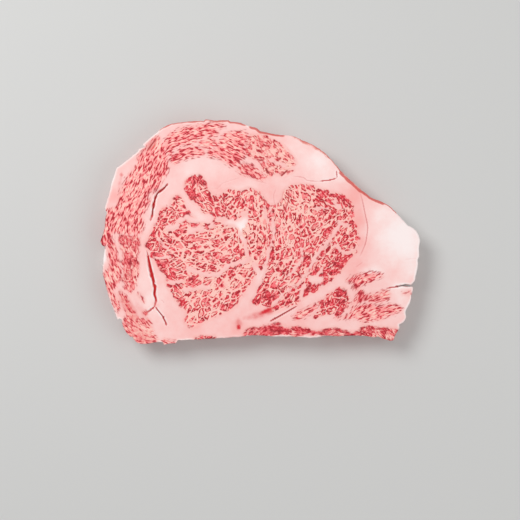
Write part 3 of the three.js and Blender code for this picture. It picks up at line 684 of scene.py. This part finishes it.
def shape_wall(piece, lean):
    """Rounds both rims, lets fat swell and lean sink on the wall and draws the faces in along with it."""
    z = piece.co[:, 2]
    climb = np.clip(1 - np.minimum(z, piece.height - z) / RIM_RADIUS, 0, 1)
    rounding = RIM_RADIUS * (1 - np.sqrt(1 - 0.9 * climb ** 2))
    s = piece.station
    folds = np.sin(s * 0.09 + 1.9 * piece.up) + 0.7 * np.sin(s * 0.23 + 2.6 * piece.up + 2)
    taper = (1 - piece.up) ** 1.5 * (0.5 + 0.5 * np.sin(s * 0.024 + 1))
    belly = np.sin(piece.up * math.pi)
    hollow = 1.2 * belly * (0.5 + 0.29 * folds) + 2.4 * taper
    sunk = WALL_SINK * belly * smooth_step(*LEAN_EDGE, lean)
    rough = 0.8 * belly * ripple(piece.co, 13, 6) + 0.35 * ripple(piece.co, 5, 1)
    rough += 0.3 * ripple(piece.co * (1, 1, 0.22), 2.3, 2) + 0.12 * ripple(piece.co, 1.5, 7)
    inset = np.maximum(rounding + hollow + sunk + rough, 0)
    give = np.clip(1 - piece.from_rim / RIM_GIVE, 0, 1)
    piece.co[:, :2] += piece.inward * (inset * give)[:, None]


def put(mesh, name, values):
    """Stores one number for each vertex, for the material to read."""
    mesh.attributes.new(name, "FLOAT", "POINT").data.foreach_set("value", np.asarray(values, np.float32))


def lean_depth(plan):
    """How far inside its muscle's lean each place is, in millimetres, below 0 outside, and how fine it is."""
    best = np.full(len(plan), -30.0)
    fine = np.zeros(len(plan))
    for name, points in MUSCLES.items():
        loop = spline(drawn(points), closed=True, step=2.5)
        distance, _ = nearest(plan, loop, closed=True)
        depth = np.where(inside(plan, loop), distance, -distance)
        fine = np.where(depth > best, FINENESS.get(name, 0.0), fine)
        best = np.maximum(best, depth)
    for width, *points in VEINS:
        distance, _ = nearest(plan, spline(drawn(points), step=2))
        best = np.minimum(best, distance - width / 2)
    return best, fine


def spots(plan, tones):
    """The sum of soft round spots, each with its radius, middle and amount."""
    total = np.zeros(len(plan))
    for radius, x, y, amount in tones:
        gap = np.linalg.norm(plan - drawn((x, y)), axis=1)
        total += amount * np.exp(-(gap / radius) ** 2)
    return total


def flush_of(plan):
    """How strongly blood shows pink or red through each place."""
    total = np.zeros(len(plan))
    for width, strength, *points in FLUSHES:
        distance, share = nearest(plan, spline(drawn(points), step=1))
        taper = 0.55 + 0.45 * np.sin(share * math.pi)
        total = np.maximum(total, strength * taper * np.exp(-(distance / (width * taper)) ** 2))
    return total


def grain_of(plan):
    """The direction of the strands, as the cosine and sine of twice its angle."""
    total = np.zeros((len(plan), 2))
    for x, y, degrees in GRAIN:
        gap = np.linalg.norm(plan - drawn((x, y)), axis=1)
        turn = math.radians(2 * degrees)
        total += (1 / (gap ** 3 + 30))[:, None] * np.array([math.cos(turn), math.sin(turn)])
    return total / np.maximum(np.linalg.norm(total, axis=1), 1e-9)[:, None]


def cut_creases(plan):
    """How deep and how dark the thin dark lines make each place, and the painted highlight next to each."""
    cut, line, pale = np.zeros((3, len(plan)))
    for depth, width, dark, *points in CREASES:
        distance, share = nearest(plan, spline(drawn(points), step=LINE_STEP))
        ends = np.sqrt(np.clip(1 - (2 * share - 1) ** 4, 0, 1))
        near = np.clip(1 - distance / width, 0, 1) * ends
        cut += depth * near
        line = np.maximum(line, dark * near)
        # Painted highlight: a pale line just outside each crease, whitening the fat there.
        pale = np.maximum(pale, 0.35 * dark * np.exp(-((distance - width - 0.5) / 0.6) ** 2) * ends)
    return cut, line, pale


def open_clefts(plan):
    """How deep and how red the opened seams make each place, how raised their lips are, and where a highlight
    is painted on the lips.
    """
    cut, wound, lips, raised = np.zeros((4, len(plan)))
    torn = ripple(plan, 3.5, 8)
    for width, depth, widest, *points in CLEFTS:
        distance, share = nearest(plan, spline(drawn(points), step=LINE_STEP))
        gape = gape_at(share, widest)
        half = np.maximum(width / 2 * gape * (1 + 0.6 * torn), 0.3)
        open_here = np.clip(1 - distance / half, 0, 1)
        cut += depth * gape * open_here ** 0.8
        lip = np.where(open_here > 0, 0, np.exp(-((distance - half) / LIP) ** 2)) * gape
        raised += LIP_LIFT * lip
        # The lips carry a painted highlight as well as being raised.
        lips = np.maximum(lips, lip)
        wound = np.maximum(wound, smooth_step(0, 0.35, open_here) * np.clip(gape * 2.5, 0, 1))
    return cut - raised, wound, lips


def carve(piece, mesh):
    """Lowers the lean a little, cuts the creases, opens the seams and stores what each place shows, painted
    highlights too.

    Returns how deep in the lean each place is.
    """
    plan = piece.plan
    top = piece.on_top
    lean, fine = lean_depth(piece.meat)
    crease, line, crease_highlight = cut_creases(plan)
    cleft, wound, lips = open_clefts(plan)
    relief = 0.22 * ripple(plan, 16, 3) - SEAM_LIFT * smooth_step(*LEAN_EDGE, lean) - crease - cleft
    relief -= 0.5 + 1.2 * smooth_step(60, 220, -plan[:, 0] - plan[:, 1])
    piece.co[:, 2] += np.where(top, relief, 0)
    # Painted highlight: the fat is whitened in a band about a millimetre wide along the rim, outside the
    # upper right quarter where the cap is, and on the pale lines next to the creases and on the seams' lips.
    cap = smooth_step(-10, 10, plan[:, 0]) * smooth_step(-10, 10, plan[:, 1])
    edge = np.exp(-(piece.from_rim / 1.1) ** 2) * (1 - cap)
    pale = np.maximum(crease_highlight, lips)
    put(mesh, "lean", lean)
    put(mesh, "fine", fine)
    put(mesh, "line", np.where(top, line, 0))
    put(mesh, "wound", np.where(top, wound, 0))
    put(mesh, "fat_tone_and_highlight", spots(piece.meat, FAT_TONES) + np.where(top, 0.9 * edge + 1.2 * pale, 0))
    return lean


def skin_of(piece):
    """How much dried skin there is: strokes near the rim, and more or less of it all over the cap's wall."""
    total = np.zeros(len(piece.plan))
    for inset, width, strength, *points in SKIN:
        distance, share = nearest(piece.plan, spline(drawn(points), step=1))
        ends = smooth_step(0, 0.15, np.minimum(share, 1 - share)) * np.clip(2 - distance / 5, 0, 1)
        reach = np.where(piece.on_top, np.abs(piece.from_rim - inset) / width, 0)
        total = np.maximum(total, strength * ends * np.clip(1.3 - reach, 0, 1))
    start, end = drawn(CAP_ENDS)
    across = end - start
    outward = np.array([-across[1], across[0]]) / np.linalg.norm(across)
    over = smooth_step(-12, 9, (piece.plan - start) @ outward)
    at_face = smooth_step(0.72, 0.95, piece.up)
    deeper = 0.5 + 0.2 * ripple(piece.co * (1, 1, 0.6), 30, 9)
    wall = over * (at_face * (0.42 + 0.25 * total) + (1 - at_face) * deeper)
    return np.where(piece.on_top | piece.under, total, wall)


def unwrap(mesh, piece):
    """Lays the upper face out large, the lower one and three strips of wall small below it."""
    corner = np.zeros(len(mesh.loops), int)
    mesh.loops.foreach_get("vertex_index", corner)
    face = corner.reshape(-1, 3)
    plan = piece.plan[face]
    up = piece.up[face]
    station = piece.station[face]
    round_trip = len(piece.rim) * RIM_STEP
    wraps = np.ptp(station, axis=1) > round_trip / 2
    station = station + np.where(wraps[:, None] & (station < round_trip / 2), round_trip, 0)
    middle = (piece.rim.max(0) + piece.rim.min(0)) / 2
    flat = (plan - middle) * FACE_SCALE + FACE_AT
    below = (plan - middle) * UNDER_SCALE + UNDER_AT
    strip = np.minimum((station.min(1) * 3 / round_trip).astype(int), 2)
    along = (station - strip[:, None] * round_trip / 3) * WALL_SCALE + WALL_AT[0]
    level = up * piece.height * WALL_SCALE + WALL_AT[1] + WALL_GAP * strip[:, None]
    side = np.stack([along, level], axis=2)
    top = (up > 0.999).all(1)[:, None, None]
    under = (up < 0.001).all(1)[:, None, None]
    uv = np.where(top, flat, np.where(under, below, side))
    mesh.uv_layers.new(name="OFBake").data.foreach_set("uv", uv.astype(np.float32).ravel())


def build_steak(frame):
    """The finished slice, with all that its material reads stored on its mesh."""
    rim = rim_of(frame["nodes"]["steak"])
    body = build_mesh(rim)
    mesh = bpy.data.meshes.new("marbled_slice")
    body.to_mesh(mesh)
    body.free()
    piece = Slice(mesh, rim)
    lean = carve(piece, mesh)
    grain = grain_of(piece.meat)
    put(mesh, "rich", spots(piece.meat, LEAN_TONES))
    put(mesh, "flush", flush_of(piece.meat))
    put(mesh, "grain_cos", grain[:, 0])
    put(mesh, "grain_sin", grain[:, 1])
    put(mesh, "skin", skin_of(piece))
    unwrap(mesh, piece)
    shape_wall(piece, lean)
    mesh.vertices.foreach_set("co", (piece.co * MM).ravel())
    mesh.polygons.foreach_set("use_smooth", np.ones(len(mesh.polygons), bool))
    mesh.update()
    steak = bpy.data.objects.new("steak_slice", mesh)
    bpy.context.scene.collection.objects.link(steak)
    return steak


def node(tree, kind, **settings):
    made = tree.nodes.new(kind)
    for key, value in settings.items():
        setattr(made, key, value)
    return made


def plug(target, source):
    """Feeds a socket with a value of the surface, with another node's output, or with a plain number."""
    source = getattr(source, "socket", source)
    if isinstance(source, bpy.types.NodeSocket):
        target.id_data.links.new(source, target)
    else:
        target.default_value = source


class Value:
    """A number or colour that changes over the surface. Sums and products of numbers become Math nodes."""

    def __init__(self, socket):
        self.socket = socket

    def reckon(self, operation, *inputs):
        made = node(self.socket.id_data, "ShaderNodeMath", operation=operation)
        for target, source in zip(made.inputs, inputs):
            plug(target, source)
        return Value(made.outputs[0])

    def __add__(self, other):
        return self.reckon("ADD", self, other)

    def __sub__(self, other):
        return self.reckon("SUBTRACT", self, other)

    def __rsub__(self, other):
        return self.reckon("SUBTRACT", other, self)

    def __mul__(self, other):
        return self.reckon("MULTIPLY", self, other)

    def __truediv__(self, other):
        return self.reckon("DIVIDE", self, other)

    def __pow__(self, other):
        return self.reckon("POWER", self, other)

    def __abs__(self):
        return self.reckon("ABSOLUTE", self)

    def at_least(self, other):
        return self.reckon("MAXIMUM", self, other)

    def held(self):
        """Keeps the last sum between 0 and 1."""
        self.socket.node.use_clamp = True
        return self

    def step(self, low, high):
        """0 below low, 1 above high, and a soft step between."""
        made = node(self.socket.id_data, "ShaderNodeMapRange", interpolation_type="SMOOTHSTEP")
        for target, source in zip(made.inputs, (self, low, high, 0.0, 1.0)):
            plug(target, source)
        return Value(made.outputs[0])

    def mix(self, first, second, kind="RGBA"):
        """Between two colours, or two numbers if the kind is FLOAT, by this share."""
        made = node(self.socket.id_data, "ShaderNodeMix", data_type=kind)
        low, high, out = {"FLOAT": (2, 3, 0), "RGBA": (6, 7, 2)}[kind]
        for at, source in ((0, self), (low, first), (high, second)):
            plug(made.inputs[at], source)
        return Value(made.outputs[out])


def grained_group(label, cells):
    """Noise, or the distance to the edge of cells, drawn out along the grain: a blend of a few fixed ways."""
    tree = bpy.data.node_groups.new(label, "ShaderNodeTree")
    tree.interface.new_socket(name="Place", in_out="INPUT", socket_type="NodeSocketVector")
    for name in ("Grain Cos", "Grain Sin", "Size", "Stretch", "Shift"):
        tree.interface.new_socket(name=name, in_out="INPUT", socket_type="NodeSocketFloat")
    tree.interface.new_socket(name="Value", in_out="OUTPUT", socket_type="NodeSocketFloat")
    given = node(tree, "NodeGroupInput").outputs
    grain_cos, grain_sin, across, stretch, shift = (Value(socket) for socket in given[1:6])
    size = node(tree, "ShaderNodeCombineXYZ")
    for target, source in zip(size.inputs, (across * stretch, across, across * GRAIN_DEPTH)):
        plug(target, source)
    total = 0.0
    power = 1e-6
    ways, sharpness = (4, 30.0) if cells else (8, 6.0)
    for k in range(ways):
        angle = math.pi * k / ways
        away = node(tree, "ShaderNodeCombineXYZ")
        plug(away.inputs[0], shift + 31.0 * k)
        mapping = node(tree, "ShaderNodeMapping", vector_type="TEXTURE")
        plug(mapping.inputs["Vector"], given["Place"])
        plug(mapping.inputs["Location"], away.outputs[0])
        plug(mapping.inputs["Rotation"], (0, 0, angle))
        plug(mapping.inputs["Scale"], size.outputs[0])
        if cells:
            swells = node(tree, "ShaderNodeTexVoronoi", feature="DISTANCE_TO_EDGE")
        else:
            swells = node(tree, "ShaderNodeTexNoise")
            plug(swells.inputs["Detail"], 1.0)
        plug(swells.inputs["Vector"], mapping.outputs[0])
        plug(swells.inputs["Scale"], 1.0)
        fit = grain_cos * math.cos(2 * angle) + grain_sin * math.sin(2 * angle)
        weight = fit.at_least(0.0) ** sharpness
        if cells:
            total = weight * swells.outputs["Distance"] + total
            power = weight + power
        else:
            total = weight * (Value(swells.outputs["Fac"]) - 0.5) + total
            power = weight * weight + power
    out = node(tree, "NodeGroupOutput")
    plug(out.inputs["Value"], total / (power if cells else power ** 0.5))
    return tree


class Beef:
    """The patterns of the raw beef's material, in millimetres on the slice."""

    def __init__(self, tree):
        self.tree = tree
        scaled = node(tree, "ShaderNodeVectorMath", operation="SCALE")
        plug(scaled.inputs[0], node(tree, "ShaderNodeTexCoord").outputs["Object"])
        plug(scaled.inputs["Scale"], 1 / MM)
        self.place = scaled.outputs[0]
        self.noise_group = grained_group("grained_noise", cells=False)
        self.lean = self.stored("lean")
        self.rich = self.stored("rich")
        self.fine = self.stored("fine")
        self.wide = self.noise(9.0, 1.0)
        self.uneven = self.noise(4.0)
        self.find_bundles()
        self.draw_network()
        self.draw_short_strands()
        flush = self.stored("flush")
        self.blush = (flush * (self.noise(3.0) + 1.0)).step(0.05, 1.3)
        self.bright = flush.step(0.9, 1.9)

    def stored(self, name):
        """A number that the slice's mesh stores."""
        return Value(node(self.tree, "ShaderNodeAttribute", attribute_name=name).outputs["Fac"])

    def noise(self, size, detail=2.0):
        """Soft noise about 0, with swells of the given size."""
        made = node(self.tree, "ShaderNodeTexNoise")
        plug(made.inputs["Vector"], self.place)
        plug(made.inputs["Scale"], 1 / size)
        plug(made.inputs["Detail"], detail)
        return Value(made.outputs["Fac"]) - 0.5

    def grained(self, size, stretch, shift=0.0, group=None, place=None):
        """A grained group's pattern: noise, unless another group is given."""
        made = node(self.tree, "ShaderNodeGroup", node_tree=group or self.noise_group)
        ways = (self.stored("grain_cos"), self.stored("grain_sin"))
        for target, source in zip(made.inputs, (place or self.place, *ways, size, stretch, shift)):
            plug(target, source)
        return Value(made.outputs[0])

    def frayed_place(self, size, amount):
        """The place pushed about by noise, so that what is drawn there gets uneven edges."""
        swells = node(self.tree, "ShaderNodeTexNoise")
        plug(swells.inputs["Vector"], self.place)
        plug(swells.inputs["Scale"], 1 / size)
        plug(swells.inputs["Detail"], 3.0)
        made = node(self.tree, "ShaderNodeVectorMath", operation="MULTIPLY_ADD")
        plug(made.inputs[0], swells.outputs["Color"])
        plug(made.inputs[1], (amount, amount, amount))
        plug(made.inputs[2], self.place)
        return made.outputs[0]

    def find_bundles(self):
        """The bundles that the eye's strands lie in, and the ragged edge between lean and fat."""
        coarse = 1.0 - self.fine
        cells = grained_group("grained_cells", cells=True)
        bundle = self.grained(5.4, 1.8, group=cells, place=self.frayed_place(3.0, 3.4))
        bundle = bundle - 0.05 + self.rich * 0.04 + self.wide * 0.12 + self.uneven * 0.12
        self.lane = (1.0 - bundle.step(-0.04, 0.03)) * coarse
        self.ring = (1.0 - abs(bundle - 0.08) * 12.0).held()
        self.dashes = self.grained(1.2, 3.7, shift=2100.0)
        edge = self.lean + self.uneven * 4.0 + self.fine * self.dashes * 9.0 + (bundle - 0.12) * coarse * 5.0
        soft = self.fine * 1.2
        self.within = edge.step(-0.6 - soft, soft + 0.9)
        self.rind = (1.0 - abs(edge - 1.2)).held()

    def draw_network(self):
        """The network of red strands in the large muscles, and the pale lanes and red patches between."""
        strands = self.grained(2.0, 1.7)
        self.beads = self.grained(3.0, 1.3, shift=900.0)
        seams = abs(self.grained(9.5, 1.9, shift=1300.0))
        thin = (1.0 - seams.step(0.012, 0.048)) * (1.0 - self.rich).held() * (1.0 - self.fine * 0.7)
        width = self.beads * 0.36 + 0.053 + self.wide * 0.14 + self.ring * 0.14
        width = width - self.lane * 0.25 + self.rich * 0.075 + self.rind * 0.05 - thin * 0.12
        width = width.at_least(0.003)
        off = abs(strands) / width
        self.near = 1.0 - off.step(0.8, 1.7)
        self.strand = 1.0 - off.step(0.65, 1.08)
        self.heart = (1.0 - off.step(0.0, 0.7)) * self.beads.step(-0.06, 0.08)
        self.pale = self.lane.at_least(thin)
        self.filled = strands.step(-0.02, 0.07) * (1.0 - self.pale) * (self.rich * 0.3 + 0.85).held()
        self.thin = thin
        self.width = width

    def draw_short_strands(self):
        """In the finer muscles, short parallel strands take the network's place."""
        dashes = self.dashes + 0.03 + self.rich * 0.07 + self.beads * 0.35 - self.thin * 0.1
        short_near = dashes.step(-0.05, 0.05)
        self.haze = self.fine * dashes.step(-0.16, 0.0)
        self.near = self.fine.mix(self.near, short_near, "FLOAT")
        self.strand = self.fine.mix(self.strand, dashes.step(0.03, 0.07), "FLOAT")
        self.heart = self.fine.mix(self.heart, dashes.step(0.09, 0.15) * 0.65, "FLOAT")
        self.filled = self.fine.mix(self.filled, short_near * 0.3, "FLOAT")

    def fat_colour(self):
        """Pink to white fat, redder close to lean and where blood shows through, white too where highlights
        are painted.
        """
        fat_tone_and_highlight = self.stored("fat_tone_and_highlight") + self.noise(25.0) * 0.6 + self.noise(5.0, 4.0) * 0.5
        fat = fat_tone_and_highlight.step(-0.8, 0.7).mix(PINK_FAT, PALE_FAT)
        fat = (self.lean.step(-3.0, -0.3) * 0.3).mix(fat, FAT_BY_LEAN)
        fat = fat_tone_and_highlight.step(0.3, 1.1).mix(fat, WHITE_FAT_AND_HIGHLIGHT)
        return self.bright.mix(self.blush.mix(fat, FLUSHED), BRIGHT_FAT)

    def lean_colour(self):
        """What lies between the strands, the red patches there, and the strands, dark in their hearts."""
        islands = (self.noise(4.0, 1.0) - self.rich * 0.1).step(-0.1, 0.12)
        between = self.haze.mix(islands.mix(PINK_BETWEEN, CREAM_BETWEEN), HAZE_BETWEEN)
        between = self.bright.mix(self.blush.mix(between, FLUSHED), BRIGHT_LEAN)
        meat = self.filled.mix(self.pale.mix(between, LANE), PATCH)
        meat = (self.near * 0.32).mix(meat, NEAR_STRAND)
        flecks = self.grained(1.3, 2.2, shift=500.0).step(0.02, 0.08) * self.width.step(0.1, 0.24)
        meat = self.strand.mix(meat, flecks.mix(STRAND, STRAND_FLECK))
        return self.heart.mix(meat, STRAND_HEART)

    def blood_spot(self, x, y, length, across, degrees):
        """How much blood there is round one spot."""
        spot = node(self.tree, "ShaderNodeMapping", vector_type="TEXTURE")
        plug(spot.inputs["Vector"], self.place)
        plug(spot.inputs["Location"], (*drawn((x, y)), 0))
        plug(spot.inputs["Rotation"], (0, 0, math.radians(degrees)))
        plug(spot.inputs["Scale"], (length, across, BLOOD_DEPTH))
        gap = node(self.tree, "ShaderNodeVectorMath", operation="LENGTH")
        plug(gap.inputs[0], spot.outputs[0])
        return 1.0 - (self.noise(1.5) * 0.7 + gap.outputs["Value"]).step(0.3, 1.1)

    def colour(self):
        """Lean within fat, then dried skin, opened seams, blood and the thin dark lines."""
        colour = self.within.mix(self.fat_colour(), self.lean_colour())
        skin = self.stored("skin") + self.noise(7.0, 4.0) * 0.9
        dried = skin.step(0.55, 1.0).mix(THIN_SKIN, THICK_SKIN)
        colour = (skin.step(0.35, 0.75) * 0.85).mix(colour, dried)
        colour = self.stored("wound").mix(colour, WOUND)
        for spot in BLOOD:
            colour = self.blood_spot(*spot).mix(colour, BLOOD_RED)
        line = self.stored("line")
        return line.step(0.35, 1.0).mix(line.step(0.05, 0.45).mix(colour, FAINT_LINE), DARK_LINE)


def marbled_beef():
    """Raw beef: pale pink fat with a fine red network of lean, dark lines and red opened seams."""
    material = bpy.data.materials.new("marbled_beef")
    material.use_nodes = True
    tree = material.node_tree
    tree.nodes.clear()
    beef = Beef(tree)
    red = beef.strand * beef.within
    bump = node(tree, "ShaderNodeBump")
    plug(bump.inputs["Strength"], 0.35)
    plug(bump.inputs["Distance"], 0.4 * MM)
    plug(bump.inputs["Height"], beef.noise(1.2) * 0.35 - red * 0.6)
    shader = node(tree, "ShaderNodeBsdfPrincipled")
    plug(shader.inputs["Base Color"], beef.colour())
    plug(shader.inputs["Roughness"], 0.5 - red * 0.12)
    plug(shader.inputs["Normal"], bump.outputs["Normal"])
    plug(node(tree, "ShaderNodeOutputMaterial").inputs["Surface"], shader.outputs[0])
    return material


def pale_table():
    material = bpy.data.materials.new("pale_table")
    material.use_nodes = True
    shader = material.node_tree.nodes["Principled BSDF"]
    plug(shader.inputs["Base Color"], (0.62, 0.62, 0.61, 1))
    plug(shader.inputs["Roughness"], 0.6)
    return material


def lay_table():
    """The plain pale surface that the slice lies on."""
    top = bmesh.new()
    bmesh.ops.create_grid(top, x_segments=1, y_segments=1, size=TABLE_REACH)
    mesh = bpy.data.meshes.new("table_top")
    top.to_mesh(mesh)
    top.free()
    mesh.materials.append(pale_table())
    table = bpy.data.objects.new("table_top", mesh)
    bpy.context.scene.collection.objects.link(table)


def light(name, place, size, power):
    """A round soft light that faces the middle of the table."""
    lamp = bpy.data.lights.new(name, "AREA")
    lamp.shape = "DISK"
    lamp.size = size
    lamp.energy = power
    made = bpy.data.objects.new(name, lamp)
    made.location = place
    made.rotation_euler = (-Vector(place)).to_track_quat("-Z", "Y").to_euler()
    bpy.context.scene.collection.objects.link(made)


def light_studio():
    light("key_light", (-0.7, 0.6, 1.3), 0.8, 13)
    light("fill_light", (0.9, -0.3, 1.2), 1.2, 4.6)
    world = bpy.data.worlds.new("studio")
    world.use_nodes = True
    background = world.node_tree.nodes["Background"]
    plug(background.inputs["Color"], (1, 1, 1, 1))
    plug(background.inputs["Strength"], 0.465)
    bpy.context.scene.world = world
    bpy.context.scene.view_settings.view_transform = "Standard"


def place_camera():
    """Straight above, with the slice as far up the picture as the photo has it."""
    camera = bpy.data.cameras.new("camera")
    camera.lens = LENS
    camera.sensor_width = SENSOR
    made = bpy.data.objects.new("camera", camera)
    distance = PHOTO_WIDTH * PIXEL * MM * LENS / SENSOR
    made.location = (*CAMERA_OVER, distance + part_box("steak")[1].z)
    bpy.context.scene.collection.objects.link(made)
    bpy.context.scene.camera = made


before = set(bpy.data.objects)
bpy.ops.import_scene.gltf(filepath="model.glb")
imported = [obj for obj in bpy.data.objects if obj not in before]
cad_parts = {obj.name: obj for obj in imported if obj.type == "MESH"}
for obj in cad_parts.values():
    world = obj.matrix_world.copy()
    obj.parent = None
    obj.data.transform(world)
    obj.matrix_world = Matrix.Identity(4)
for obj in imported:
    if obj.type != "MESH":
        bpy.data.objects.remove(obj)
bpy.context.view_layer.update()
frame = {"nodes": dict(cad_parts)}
place_camera()
steak = build_steak(frame)
steak.data.materials.append(marbled_beef())
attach(steak, "root")
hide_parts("steak")
lay_table()
light_studio()
